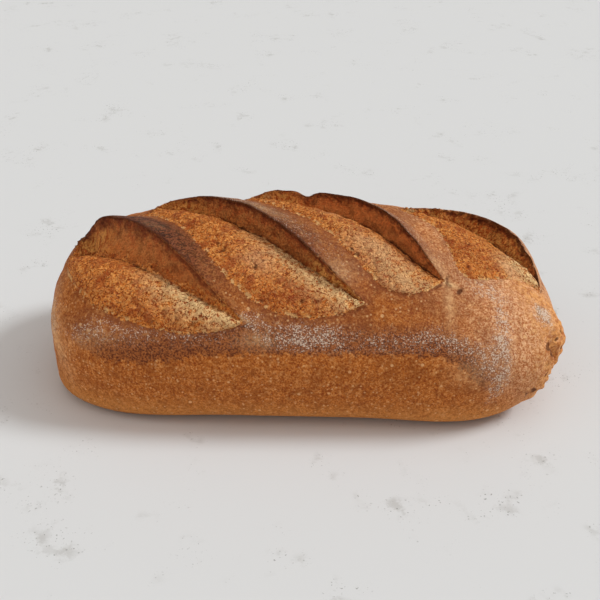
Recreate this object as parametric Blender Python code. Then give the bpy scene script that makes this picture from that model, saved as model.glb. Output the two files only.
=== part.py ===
"""Spelt bread: one long hearth loaf with four slanting slashes.

The loaf is one closed solid. Its body is an inside test: a rounded bar that is
widest below the middle, blunt at the left end and more pointed at the right.
A chart spreads millimetres over that skin, u along the loaf and v across it
(v < 0 is the front), with (0, 0) on the crest. The slashes, their lifted ears
and the torn places are laid out on the chart and raised or sunk along the
skin's normal. Lengths are in millimetres until the mesh is made in metres.
"""

from dataclasses import dataclass

import bmesh
import bpy
import numpy as np

MM = 0.001

# Body of the loaf
LENGTH = 281.0
WIDTH = 134.0
CREST = 91.5                # top of the skin between the ears
BELLY = 0.40                # height of the widest line, as a share of CREST
BASE_WIDTH = 0.96           # width at the table, as a share of WIDTH
BASE_LENGTH = (1.00, 0.79)  # reach of each end at the table, left and right
END_ROUND = (2.6, 1.95)     # roundness of each end seen from the side
PLAN_SQUARE = (3.4, 4.6)    # squareness of each end seen from above
CROWN_SQUARE = 2.3          # the same for the crown of the loaf
CROWN_BACK = 0.09           # how far the crown leans back, as a share of half the width
BASE_FILLET = (9.0, 15.5)   # radius of the edge by the table, at the ends and along the middle
BASE_WAIST = 3.0            # how far the foot of each long side draws in along the middle
WAIST = (-2.0, 30.0, 105.0)  # middle of that stretch, and where it starts to fade and ends
FOOT_TAPER = 2.4            # how late the body narrows below its widest line
END_BLEND = (-60.0, 60.0)   # where the left end's form turns into the right end's

# Chart over the skin
SPINE_HALF = 78.0
SPINE_HEIGHT = 44.0
CHART_RADIUS = 62.0
SPINE_POWER = 4.0
RIM_ANGLE = np.radians(174.0)
RIM_SEARCH = (0.5, 1.6)     # shares of a chart reach between which the rim lies
SEARCH_STEPS = 30
SLOPE_REACH = 0.6           # chart distance over which the skin's slope is taken

# Grid of the mesh: (half reach, spacing) zones from the crest outwards
ZONES_ALONG = ((150.0, 5.0), (205.0, 9.0), (245.0, 5.0), (266.0, 10.0))
ZONES_FRONT = ((88.0, 4.2), (124.0, 7.0), (146.0, 4.0), (190.0, 15.0))
ZONES_BACK = ((56.0, 4.6), (124.0, 8.5), (146.0, 4.0), (190.0, 15.0))
SLANT = 1.42                # run of the slashes along the loaf for each mm across it
SLANT_ACROSS = 60.0         # chart reach of the slanted net to the front and back
SLANT_ALONG = (66.0, 266.0)  # where the slant fades out towards the ends

# Slashes
LIP_RUN = 4.5               # share of the cut wall's chart run taken behind the ear
CREASE_RUN = 3.0            # and the share taken in front of the crease
LINE_END = 0.01             # share of a slash at each end that the net isn't drawn onto
WALL_BEND = 1.15            # how much of the wall's rise lies near its ear
FLAP_FALL = 1.6             # how fast the flap falls back behind its ear
FLAP_CROWN = 0.6            # how full it stays on the way
BED_CROWN = 0.8             # fullness of the swollen bed
BED_STEP = 0.5              # small step down from the skin onto the bed
BED_STEP_RUN = 0.06         # run of that step, as a share of the bed

# Roughness of the crust
SWELLS = ((34.0, 0.9, 1), (13.0, 0.45, 2))  # size, height and seed of each set of swells
TEAR = (7.0, 2.0, 4)        # the same for torn walls
BURST = (118.0, 142.0)      # where along the loaf the burst end starts and is full
BURST_ACROSS = (-72.0, 16.0, 40.0)  # its middle across the loaf, and where it fades and ends
BURST_HEIGHT = 1.5
BURST_FOLDS = (11.0, 4.0, 14)  # size, height and seed of the folds of its crust
FOLD_LEVEL = 0.3            # share of a fold's height that lies under the skin
FOOT = 22.0                 # height over the table below which relief fades out


@dataclass(frozen=True)
class Bow:
    """How far a line of a slash leaves its axis: height * a^start * (1 - a)^end, peak at height."""

    height: float
    start: float
    end: float

    def at(self, along):
        """Offset in millimetres at a share of the slash's length."""
        peak = self.start / (self.start + self.end)
        scale = peak ** self.start * (1 - peak) ** self.end
        return self.height * along ** self.start * (1 - along) ** self.end / scale


@dataclass(frozen=True)
class Slash:
    """One slanting cut, from its far end at the back left to its near end at the front right."""

    far: tuple
    near: tuple
    ear: Bow                # edge of the lifted flap
    wall: Bow               # run of the cut wall over the skin, from its foot to the ear
    bed: Bow                # front edge of the opened bed
    lift: Bow               # height of the ear over the skin
    depth: float            # depth of the crease under the skin
    puff: float = 3.0       # swell of the bed
    under: float = 1.5      # how far the wall is hollowed under the ear
    strip: float = 22.0     # width over which the flap falls back to the skin
    torn: float = 0.4       # roughness of the cut wall


SLASHES = (
    Slash((-150, 4), (-28, -76), Bow(21, 0.35, 1.25), Bow(23, 0.35, 0.9), Bow(-38, 0.8, 0.8),
          Bow(10.5, 0.35, 0.9), 4.0, puff=3.5, under=2.5, torn=0.6),
    Slash((-100, 30), (33, -65), Bow(21.5, 0.56, 1.5), Bow(6, 1.6, 1.0), Bow(-33, 2.2, 0.86),
          Bow(9.0, 0.8, 0.8), 4.5),
    Slash((-38, 40), (77, -49), Bow(22, 1.6, 1.9), Bow(3, 1.2, 1.0), Bow(-26, 3.5, 0.71),
          Bow(9.0, 1.0, 0.8), 4.5, under=2.0, strip=16.0),
    Slash((54, 33), (150, -29), Bow(40, 0.98, 0.78), Bow(2, 1.0, 1.0), Bow(-43, 4.8, 2.7),
          Bow(7.5, 0.7, 0.5), 4.5, under=2.0, strip=26.0, torn=1.0),
)


@dataclass(frozen=True)
class Spot:
    """A local swell (height > 0) or pit (height < 0) on the chart."""

    at: tuple
    reach: tuple
    height: float
    turn: float = 0.0


SPOTS = (
    Spot((-139, -2), (10, 6), -4.0, turn=60),       # cave under the first ear
    Spot((-136, 18), (10, 8), -3.5),                # shoulder behind that ear's tip
    Spot((-118, 12), (8, 6), 1.8),                  # top of the first ear
    Spot((-160, 3), (6, 5), -6.0),                  # notch beside the ear's tip
    Spot((-162, -24), (8, 14), -1.5),               # flatter skin below the notch
    Spot((-16, 34), (13, 7), 4.0, turn=-15),        # torn lump where the third slash begins
    Spot((3, 30), (4, 7), -3.0),                    # gap between that lump and the third ear
    Spot((52, 56), (17, 9), -3.0),                  # dip at the back between the last two ears
    Spot((87, -55), (3, 2), -1.5, turn=30),         # small tear right of the third slash
    Spot((165, 24), (9, 8), -3.0),                  # dip behind the end of the fourth slash
    Spot((152, -52), (13, 24), 3.0),                # lobe of the burst right end
    Spot((157, -67), (9, 3.5), -9.0, turn=-25),     # crevice under that lobe
    Spot((162, -89), (7, 6), 2.5),                  # torn foot of the right end
)


def smooth_step(x, low, high):
    """0 below low, 1 above high, with a soft ramp between."""
    t = np.clip((x - low) / (high - low), 0, 1)
    return t * t * (3 - 2 * t)


def lattice(cells, seed):
    """Repeatable values in -1..1 for whole-numbered cells."""
    x, y, z = np.moveaxis(cells.astype(np.int64), -1, 0)
    mixed = x * 374761393 + y * 668265263 + z * 2147483647 + seed * 1274126177
    mixed = (mixed ^ (mixed >> 13)) * 1274126177 & 0x7FFFFFFF
    mixed = (mixed ^ (mixed >> 16)) & 0xFFFF
    return mixed / 32767.5 - 1


def noise(points, size, seed):
    """Smooth value noise in -1..1 with features about size across."""
    scaled = points / size
    corner = np.floor(scaled)
    part = scaled - corner
    part = part * part * (3 - 2 * part)
    total = np.zeros(points.shape[:-1])
    for step in np.ndindex(2, 2, 2):
        weight = np.ones_like(total)
        for axis in range(3):
            weight = weight * (part[..., axis] if step[axis] else 1 - part[..., axis])
        total += weight * lattice(corner + np.array(step), seed)
    return total


def inside(points):
    """Whether points lie in the body of the loaf."""
    x, y, z = points[..., 0], points[..., 1], points[..., 2]
    share = np.clip(z / CREST, 0, 1)
    rise = np.clip((share - BELLY) / (1 - BELLY), 0, 1)
    drop = np.clip(1 - share / BELLY, 0, 1) ** FOOT_TAPER
    right = smooth_step(x, *END_BLEND)
    end_round = END_ROUND[0] + (END_ROUND[1] - END_ROUND[0]) * right
    base_length = BASE_LENGTH[0] + (BASE_LENGTH[1] - BASE_LENGTH[0]) * right
    square = PLAN_SQUARE[0] + (PLAN_SQUARE[1] - PLAN_SQUARE[0]) * right
    square = CROWN_SQUARE + (square - CROWN_SQUARE) * (1 - rise ** 2)
    waist = 1 - smooth_step(np.abs(x - WAIST[0]), WAIST[1], WAIST[2])
    fillet = BASE_FILLET[0] + (BASE_FILLET[1] - BASE_FILLET[0]) * waist
    edge = np.clip(1 - z / fillet, 0, 1)
    inset = fillet * (1 - np.sqrt(1 - edge * edge))
    half_length = LENGTH / 2 * (1 - rise ** end_round) ** (1 / end_round) * (1 - (1 - base_length) * drop)
    half_width = WIDTH / 2 * np.sqrt(1 - rise ** 2) * (1 - (1 - BASE_WIDTH) * drop)
    half_length = np.maximum(half_length - inset, 1e-3)
    half_width = np.maximum(half_width - inset - BASE_WAIST * waist * drop, 1e-3)
    lean = CROWN_BACK * rise * WIDTH / 2
    plan = (np.abs(x) / half_length) ** square + (np.abs(y - lean) / half_width) ** square
    return (z >= 0) & (z <= CREST) & (plan < 1)


def spine(u):
    """Place along the spine that a chart coordinate hangs from."""
    return u / (1 + np.abs(u / SPINE_HALF) ** SPINE_POWER) ** (1 / SPINE_POWER)


def body_point(u, v):
    """Skin of the body at chart coordinates, found by halving along a ray from the spine."""
    s = spine(u)
    along, across = (u - s) / CHART_RADIUS, v / CHART_RADIUS
    tilt, turn = np.hypot(along, across), np.arctan2(across, along)
    ray = np.stack([np.sin(tilt) * np.cos(turn), np.sin(tilt) * np.sin(turn), np.cos(tilt)], -1)
    root = np.stack([s, 0 * s, 0 * s + SPINE_HEIGHT], -1)
    low, high = np.zeros(s.shape), np.full(s.shape, float(LENGTH))
    for _ in range(SEARCH_STEPS):
        middle = (low + high) / 2
        within = inside(root + ray * middle[..., None])
        low, high = np.where(within, middle, low), np.where(within, high, middle)
    return root + ray * low[..., None]


def skin(u, v):
    """Point and outward normal of the body at chart coordinates."""
    point = body_point(u, v)
    along = body_point(u + SLOPE_REACH, v) - body_point(u - SLOPE_REACH, v)
    across = body_point(u, v + SLOPE_REACH) - body_point(u, v - SLOPE_REACH)
    normal = np.cross(along, across)
    size = np.linalg.norm(normal, axis=-1, keepdims=True)
    return point, normal / np.maximum(size, 1e-9)


def place_on(slash, u, v):
    """Share of a slash's length at chart points, their offset from its axis, and the axis's side."""
    far, near = np.array(slash.far, float), np.array(slash.near, float)
    length = np.linalg.norm(near - far)
    axis = (near - far) / length
    side = np.array([-axis[1], axis[0]])
    along = np.clip(((u - far[0]) * axis[0] + (v - far[1]) * axis[1]) / length, 0, 1)
    return along, (u - far[0]) * side[0] + (v - far[1]) * side[1], side


def net_lines(slash, along):
    """Offsets on the net of the ear, the crease and the bed's front edge."""
    strength = slash.lift.at(along) / slash.lift.height
    ear = slash.ear.at(along) + LIP_RUN * strength
    crease = np.minimum(slash.ear.at(along) - slash.wall.at(along) - CREASE_RUN * strength, ear - 0.01)
    return ear, crease, np.minimum(slash.bed.at(along), crease - 0.01)


def cut(slash, u, v):
    """Chart shift and height that one slash gives to chart points."""
    along, off, side = place_on(slash, u, v)
    lift = slash.lift.at(along)
    strength = lift / slash.lift.height
    true_ear = slash.ear.at(along)
    true_crease = true_ear - slash.wall.at(along)
    ear, crease, bed = net_lines(slash, along)

    behind = np.clip((off - ear) / slash.strip, 0, 1)
    up_wall = np.clip((off - crease) / (ear - crease), 0, 1)
    over_bed = np.clip((off - bed) / (crease - bed), 0, 1)
    hollow = slash.under * strength * 4 * up_wall * (1 - up_wall)
    wall_off = true_crease + slash.wall.at(along) * up_wall + hollow
    strip_off = off - LIP_RUN * strength * (1 - behind) ** 2
    bed_off = off + (true_crease - crease) * over_bed ** 2
    on_strip, on_wall = off >= ear, (off < ear) & (off >= crease)
    new_off = np.where(on_strip, strip_off, np.where(on_wall, wall_off, bed_off))

    low = -slash.depth * strength
    strip_height = lift * (1 - behind) ** FLAP_FALL * (1 + FLAP_CROWN * behind)
    wall_height = low + (lift - low) * up_wall ** WALL_BEND
    swell = np.sin(np.pi * over_bed) ** BED_CROWN * slash.puff * strength
    step = BED_STEP * strength * smooth_step(over_bed, 0.0, BED_STEP_RUN)
    bed_height = np.where(over_bed > 0, low * over_bed ** 3 + swell - step, 0)
    height = np.where(on_strip, strip_height, np.where(on_wall, wall_height, bed_height))
    move = new_off - off
    inside_wall = np.where(on_wall, np.sin(np.pi * up_wall), 0) * strength * slash.torn
    return move * side[0], move * side[1], height, inside_wall


def spot_height(spot, u, v):
    """Height that one local swell or pit gives to chart points."""
    turn = np.radians(spot.turn)
    du, dv = u - spot.at[0], v - spot.at[1]
    along = (du * np.cos(turn) + dv * np.sin(turn)) / spot.reach[0]
    across = (dv * np.cos(turn) - du * np.sin(turn)) / spot.reach[1]
    return spot.height * np.exp(-(along ** 2 + across ** 2))


def loaf_points(u, v):
    """Finished skin of the loaf at chart coordinates."""
    body, _ = skin(u, v)
    shift_u, shift_v = np.zeros_like(u), np.zeros_like(v)
    height, tear = np.zeros_like(u), np.zeros_like(u)
    for slash in SLASHES:
        move_u, move_v, rise, torn = cut(slash, u, v)
        shift_u, shift_v = shift_u + move_u, shift_v + move_v
        height, tear = height + rise, tear + torn
    for spot in SPOTS:
        height = height + spot_height(spot, u, v)
    for size, swell, seed in SWELLS:
        height = height + swell * noise(body, size, seed)
    size, ragged, seed = TEAR
    middle, fade, end = BURST_ACROSS
    burst = smooth_step(u, *BURST) * (1 - smooth_step(np.abs(v - middle), fade, end))
    height = height + (ragged * tear + BURST_HEIGHT * burst) * noise(body, size, seed)
    size, fold, seed = BURST_FOLDS
    height = height + fold * burst * (np.abs(noise(body, size, seed)) - FOLD_LEVEL)
    above = smooth_step(body[..., 2], 0.0, FOOT)
    point, normal = skin(u + shift_u, v + shift_v)
    return point + normal * (height * above)[..., None]


def zone_steps(zones):
    """Chart distances from the crest to the rim, evenly spaced in each zone."""
    steps, start = [0.0], 0.0
    for end, spacing in zones:
        count = max(1, round((end - start) / spacing))
        steps += [start + (end - start) * (i + 1) / count for i in range(count)]
        start = end
    return np.array(steps)


def rim_scale(u, v):
    """Factor that takes a chart direction out to the rim, under the loaf."""
    low, high = (np.full(u.shape, share) for share in RIM_SEARCH)
    for _ in range(SEARCH_STEPS):
        middle = (low + high) / 2
        along = u * middle - spine(u * middle)
        short = np.hypot(along, v * middle) < CHART_RADIUS * RIM_ANGLE
        low, high = np.where(short, middle, low), np.where(short, high, middle)
    return low


def slanted(u, v):
    """Shift a net along the loaf so that its columns run with the slashes."""
    low, high = SLANT_ALONG
    across = SLANT_ACROSS * np.tanh(v / SLANT_ACROSS)
    return u - SLANT * across * (1 - smooth_step(np.abs(u), low, high))


def snapped(u, v, level):
    """Move the nearest column of each row onto the line where level(u, v) is zero."""
    value = level(u, v)
    first, second = value[:-1], value[1:]
    crossing = (first * second < 0) & (np.abs(first - second) > 1e-9)
    share = np.where(crossing, first / np.where(crossing, first - second, 1), 0)
    step_u, step_v = np.diff(u, axis=0), np.diff(v, axis=0)
    near_first, near_second = crossing & (share < 0.5), crossing & (share >= 0.5)
    new_u, new_v = u.copy(), v.copy()
    new_u[:-1] += np.where(near_first, share * step_u, 0)
    new_v[:-1] += np.where(near_first, share * step_v, 0)
    new_u[1:] -= np.where(near_second, (1 - share) * step_u, 0)
    new_v[1:] -= np.where(near_second, (1 - share) * step_v, 0)
    return new_u, new_v


def edge_level(slash, edge):
    """Function that is zero on one line of a slash (0 the ear, 1 the crease, 2 the bed's edge)."""
    def level(u, v):
        along, off, _ = place_on(slash, u, v)
        within = (along > LINE_END) & (along < 1 - LINE_END)
        return np.where(within, off - net_lines(slash, along)[edge], 1.0)
    return level


def chart_grid():
    """Chart coordinates of the grid: a square net drawn out to an oval that ends at the rim."""
    side = zone_steps(ZONES_ALONG)
    front, back = zone_steps(ZONES_FRONT), zone_steps(ZONES_BACK)
    columns = np.concatenate([-side[:0:-1], side]) / side[-1]
    rows = np.concatenate([-front[:0:-1] / front[-1], back / back[-1]])
    p, q = np.meshgrid(columns, rows, indexing="ij")
    x, y = p * np.sqrt(1 - q * q / 2), q * np.sqrt(1 - p * p / 2)
    radius = np.hypot(x, y)
    safe = np.maximum(radius, 1e-9)
    factor = rim_scale(x / safe * side[-1], y / safe * front[-1])
    factor = 1 + (factor - 1) * radius ** 3
    u, v = x * side[-1] * factor, y * front[-1] * factor
    u = slanted(u, v)
    for slash in SLASHES:
        for edge in (0, 1):
            u, v = snapped(u, v, edge_level(slash, edge))
    return u, v


def net_faces(columns, rows):
    """Quads of the net, and the quads that close the slit left under the loaf."""
    def at(i, j):
        return i * rows + j
    faces = [(at(i, j), at(i + 1, j), at(i + 1, j + 1), at(i, j + 1))
             for i in range(columns - 1) for j in range(rows - 1)]
    last = rows - 1
    faces += [(at(i + 1, 0), at(i, 0), at(i, last), at(i + 1, last)) for i in range(columns - 1)]
    for i, turn in ((0, 1), (columns - 1, -1)):
        for j in range(last // 2):
            ring = (at(i, j), at(i, j + 1), at(i, last - j - 1), at(i, last - j))
            faces.append(tuple(dict.fromkeys(ring[::turn])))
    return [face for face in faces if len(face) > 2]


def crust_material():
    """Baked crust: a dull brown skin."""
    material = bpy.data.materials.new("crust")
    material.use_nodes = True
    shader = material.node_tree.nodes["Principled BSDF"]
    shader.inputs["Base Color"].default_value = (0.30, 0.095, 0.024, 1)
    shader.inputs["Roughness"].default_value = 0.62
    shader.inputs["Metallic"].default_value = 0.0
    return material


def build_loaf():
    """Make the loaf, resting on z = 0 and centred on the origin."""
    u, v = chart_grid()
    columns, rows = u.shape
    points = loaf_points(u, v).reshape(-1, 3)
    points[:, 2] = np.maximum(points[:, 2], 0)
    centre = (points.min(axis=0) + points.max(axis=0)) / 2
    points[:, :2] -= centre[:2]
    mesh = bpy.data.meshes.new("loaf")
    mesh.from_pydata((points * MM).tolist(), [], net_faces(columns, rows))
    shaper = bmesh.new()
    shaper.from_mesh(mesh)
    bmesh.ops.remove_doubles(shaper, verts=shaper.verts, dist=0.00002)
    bmesh.ops.recalc_face_normals(shaper, faces=shaper.faces)
    bmesh.ops.triangulate(shaper, faces=shaper.faces)
    shaper.to_mesh(mesh)
    shaper.free()
    mesh.shade_smooth()
    mesh.materials.append(crust_material())
    loaf = bpy.data.objects.new("loaf", mesh)
    bpy.context.scene.collection.objects.link(loaf)
    return loaf


def main():
    """Clear the scene and build the loaf."""
    for old in list(bpy.data.objects):
        bpy.data.objects.remove(old)
    build_loaf()


main()
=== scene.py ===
"""Looks of the spelt loaf: its baked skin, opened slashes and flour, on a pale studio floor.

The loaf's form is worked out as the solid's is: a body given by an inside test, and a chart
that spreads millimetres over its skin, u along the loaf and v across it, with (0, 0) on the
crest and v < 0 at the front. Slashes, tears and flour are laid out on that chart. The finer
net here also carries where each kind of crust lies, which the material turns into colour
and grain. Form sizes are in millimetres; the mesh is made in metres.
"""

import logging
from dataclasses import dataclass, field
from enum import Enum
from functools import partial, reduce
from math import cos, radians, sin
from typing import Callable, Iterable

import bpy
import numpy as np
from mathutils import Matrix, Vector


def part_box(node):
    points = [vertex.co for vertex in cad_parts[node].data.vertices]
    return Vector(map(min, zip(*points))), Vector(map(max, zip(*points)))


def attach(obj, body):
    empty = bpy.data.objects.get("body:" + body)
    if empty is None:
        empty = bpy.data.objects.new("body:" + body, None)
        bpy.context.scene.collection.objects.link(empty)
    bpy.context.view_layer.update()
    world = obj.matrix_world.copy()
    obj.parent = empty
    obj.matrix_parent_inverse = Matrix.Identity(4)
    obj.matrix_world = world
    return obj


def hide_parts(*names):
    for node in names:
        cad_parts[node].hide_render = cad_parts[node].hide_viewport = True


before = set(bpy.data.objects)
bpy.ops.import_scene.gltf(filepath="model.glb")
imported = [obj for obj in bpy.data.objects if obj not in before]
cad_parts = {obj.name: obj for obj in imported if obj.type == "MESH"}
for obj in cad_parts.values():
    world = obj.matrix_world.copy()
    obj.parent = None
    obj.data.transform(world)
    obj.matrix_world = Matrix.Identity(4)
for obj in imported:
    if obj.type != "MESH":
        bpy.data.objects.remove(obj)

LOG = logging.getLogger("loaf")
MM = 0.001
SEARCH_STEPS = 30
TINY = 1e-9
THIN = 1e-3
LINE_GAP = 0.01
Array = np.ndarray
Socket = bpy.types.NodeSocket
Pair = tuple[float, float]
Triple = tuple[float, float, float]


def linear(hex_colour: str) -> tuple[float, float, float, float]:
    """Turn an sRGB hex colour into linear light.

    Args:
        hex_colour: six hex digits, with or without a leading #.

    Returns:
        Linear red, green, blue and an alpha of 1.
    """
    digits = hex_colour.lstrip("#")
    parts = [int(digits[i:i + 2], 16) / 255 for i in (0, 2, 4)]
    light = [p / 12.92 if p <= 0.04045 else ((p + 0.055) / 1.055) ** 2.4 for p in parts]
    return (light[0], light[1], light[2], 1.0)


def ramp(x: Array, low: float, high: float) -> Array:
    """0 below low, 1 above high, with a soft ramp between."""
    t = np.clip((x - low) / (high - low), 0, 1)
    return t * t * (3 - 2 * t)


def lattice(cells: Array, seed: int) -> Array:
    """Repeatable values in -1..1 for whole-numbered cells."""
    x, y, z = np.moveaxis(cells.astype(np.int64), -1, 0)
    mixed = x * 374761393 + y * 668265263 + z * 2147483647 + seed * 1274126177
    mixed = (mixed ^ (mixed >> 13)) * 1274126177 & 0x7FFFFFFF
    mixed = (mixed ^ (mixed >> 16)) & 0xFFFF
    return mixed / 32767.5 - 1


def noise(points: Array, size: float, seed: int) -> Array:
    """Smooth value noise.

    Args:
        points: places, in the last axis.
        size: width of a feature, in the points' units.
        seed: which of the repeatable patterns.

    Returns:
        A value in -1..1 for each point.
    """
    scaled = points / size
    corner = np.floor(scaled)
    part = scaled - corner
    part = part * part * (3 - 2 * part)
    value = np.zeros(points.shape[:-1])
    for step in np.ndindex(2, 2, 2):
        weight = np.ones_like(value)
        for axis in range(3):
            weight = weight * (part[..., axis] if step[axis] else 1 - part[..., axis])
        value += weight * lattice(corner + np.array(step), seed)
    return value


def rough(points: Array, noises: tuple) -> Array:
    """Several noises added together, each given by its height, width and seed."""
    return sum(height * noise(points, size, seed) for height, size, seed in noises)


def placed(name: str, data: bpy.types.ID) -> bpy.types.Object:
    """Make an object in the scene."""
    made = bpy.data.objects.new(name, data)
    bpy.context.scene.collection.objects.link(made)
    return made


@dataclass(frozen=True)
class Bow:
    """How far a line of a slash leaves its axis: height * a^start * (1 - a)^end, scaled to peak at height."""

    height: float
    start: float
    end: float

    def at(self, along: Array) -> Array:
        """Offset in millimetres at a share of the slash's length."""
        peak = self.start / (self.start + self.end)
        scale = peak ** self.start * (1 - peak) ** self.end
        return self.height * along ** self.start * (1 - along) ** self.end / scale


@dataclass
class LoafBody:
    """The loaf before it opens: a rounded bar, blunt at the left and pointed at the right.

    A pair is a measure at the left and at the right, but the fillet's are away from the waist and at it.
    """

    length: float = 281.0
    width: float = 134.0
    crest: float = 91.5
    belly: float = 0.40
    base_width: float = 0.96
    base_length: Pair = (1.00, 0.79)
    end_round: Pair = (2.6, 1.95)
    plan_square: Pair = (3.4, 4.6)
    crown_square: float = 2.3
    crown_back: float = 0.09
    taper: Pair = (-60.0, 60.0)
    drop_power: float = 2.4
    base_fillet: Pair = (9.0, 15.5)
    base_waist: float = 3.0
    waist: Triple = (-2.0, 30.0, 105.0)
    spine_half: float = 78.0
    spine_height: float = 44.0
    chart_radius: float = 62.0
    spine_power: float = 4.0

    def inside(self, points: Array) -> Array:
        """Whether points lie in the body."""
        x, y, z = points[..., 0], points[..., 1], points[..., 2]
        share = np.clip(z / self.crest, 0, 1)
        rise = np.clip((share - self.belly) / (1 - self.belly), 0, 1)
        drop = np.clip(1 - share / self.belly, 0, 1) ** self.drop_power
        right = ramp(x, *self.taper)
        end_round, base_length, square = (
            pair[0] + (pair[1] - pair[0]) * right
            for pair in (self.end_round, self.base_length, self.plan_square))
        square = self.crown_square + (square - self.crown_square) * (1 - rise ** 2)
        waist = 1 - ramp(np.abs(x - self.waist[0]), self.waist[1], self.waist[2])
        fillet = self.base_fillet[0] + (self.base_fillet[1] - self.base_fillet[0]) * waist
        edge = np.clip(1 - z / fillet, 0, 1)
        inset = fillet * (1 - np.sqrt(1 - edge * edge))
        half_length = self.length / 2 * (1 - rise ** end_round) ** (1 / end_round)
        half_length = half_length * (1 - (1 - base_length) * drop)
        half_width = self.width / 2 * np.sqrt(1 - rise ** 2) * (1 - (1 - self.base_width) * drop)
        half_length = np.maximum(half_length - inset, THIN)
        half_width = np.maximum(half_width - inset - self.base_waist * waist * drop, THIN)
        lean = self.crown_back * rise * self.width / 2
        plan = (np.abs(x) / half_length) ** square + (np.abs(y - lean) / half_width) ** square
        return (z >= 0) & (z <= self.crest) & (plan < 1)

    def spine(self, u: Array) -> Array:
        """Place along the spine that a chart coordinate hangs from."""
        return u / (1 + np.abs(u / self.spine_half) ** self.spine_power) ** (1 / self.spine_power)

    def point(self, u: Array, v: Array) -> Array:
        """Skin at chart coordinates, found by halving along a ray from the spine."""
        s = self.spine(u)
        along, across = (u - s) / self.chart_radius, v / self.chart_radius
        tilt, turn = np.hypot(along, across), np.arctan2(across, along)
        ray = np.stack([np.sin(tilt) * np.cos(turn), np.sin(tilt) * np.sin(turn), np.cos(tilt)], -1)
        root = np.stack([s, 0 * s, 0 * s + self.spine_height], -1)
        low, high = np.zeros(s.shape), np.full(s.shape, self.length)
        for _ in range(SEARCH_STEPS):
            middle = (low + high) / 2
            within = self.inside(root + ray * middle[..., None])
            low, high = np.where(within, middle, low), np.where(within, high, middle)
        return root + ray * low[..., None]

    def skin(self, u: Array, v: Array, reach: float = 0.6) -> tuple[Array, Array]:
        """Point and outward normal of the skin.

        Args:
            u: chart coordinate along the loaf.
            v: chart coordinate across it.
            reach: step of the slopes that give the normal.

        Returns:
            The points and the unit normals.
        """
        along = self.point(u + reach, v) - self.point(u - reach, v)
        across = self.point(u, v + reach) - self.point(u, v - reach)
        normal = np.cross(along, across)
        size = np.linalg.norm(normal, axis=-1, keepdims=True)
        return self.point(u, v), normal / np.maximum(size, TINY)


@dataclass(frozen=True)
class Slash:
    """One slanting cut, from its far end at the back left to its near end at the front right.

    The bows are its lines and its ear's lift. Torn is how rough the wall is at its far end, middle and
    near end, ragged how far the ear, crease and bed's edge stray, and the rest how its parts are coloured.
    """

    far: Pair
    near: Pair
    ear: Bow
    wall: Bow
    bed: Bow
    lift: Bow
    depth: float
    puff: float = 3.0
    under: float = 1.5
    strip: float = 22.0
    torn: Triple = (1.2, 0.3, 0.3)
    lip_run: float = 4.5
    crease_run: float = 3.0
    tone: float = 0.5
    dusting: float = 0.4
    pale_reach: float = 9.0
    pale_gap: float = 0.0
    pale_share: Pair = (0.35, 0.75)
    pale: float = 1.0
    # painted light: how much the cut's wall, which lies in shade, is brightened in colour
    glow: float = 0.0
    climb: float = 1.5
    burnt: float = 1.8
    ragged: Triple = (0.35, 1.3, 0.8)

    @property
    def length(self) -> float:
        """Length of its axis in millimetres."""
        return float(np.hypot(self.near[0] - self.far[0], self.near[1] - self.far[1]))

    def wander(self, along: Array, edge: int) -> Array:
        """How far one of the torn lines strays, in millimetres."""
        place = np.stack([along * self.length, 0 * along + 7.3 * edge, 0 * along + self.far[0]], -1)
        stray = rough(place, ((1.0, 9.0, 21), (0.7, 3.5, 22)))
        return self.ragged[edge] * stray * ramp(along, 0, 0.1) * ramp(1 - along, 0, 0.1)

    def place(self, u: Array, v: Array) -> tuple[Array, Array, Array, Array]:
        """Where chart points lie against the cut.

        Returns:
            Share of its length, offset from its axis, distance past its ends, and the axis's side.
        """
        far, near = np.array(self.far, float), np.array(self.near, float)
        axis = (near - far) / self.length
        side = np.array([-axis[1], axis[0]])
        share = ((u - far[0]) * axis[0] + (v - far[1]) * axis[1]) / self.length
        past = np.maximum(np.maximum(-share, share - 1), 0) * self.length
        return np.clip(share, 0, 1), (u - far[0]) * side[0] + (v - far[1]) * side[1], past, side

    def lines(self, along: Array) -> tuple[Array, Array, Array]:
        """Offsets on the net of the ear, the crease and the bed's front edge."""
        strength = self.lift.at(along) / self.lift.height
        ear = self.ear.at(along) + self.lip_run * strength + self.wander(along, 0)
        crease = self.ear.at(along) - self.wall.at(along) - self.crease_run * strength
        crease = np.minimum(crease + self.wander(along, 1), ear - LINE_GAP)
        bed = self.bed.at(along) + self.wander(along, 2)
        return ear, crease, np.minimum(bed, crease - LINE_GAP)

    def level(self, edge: int) -> Callable[[Array, Array], Array]:
        """Function that is zero on one of the cut's lines: 0 the ear, 1 the crease, 2 the bed's edge."""
        def value(u: Array, v: Array) -> Array:
            """Signed offset of chart points from the line."""
            along, off, _, _ = self.place(u, v)
            within = (along > LINE_GAP) & (along < 1 - LINE_GAP)
            return np.where(within, off - self.lines(along)[edge], 1.0)
        return value


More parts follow.
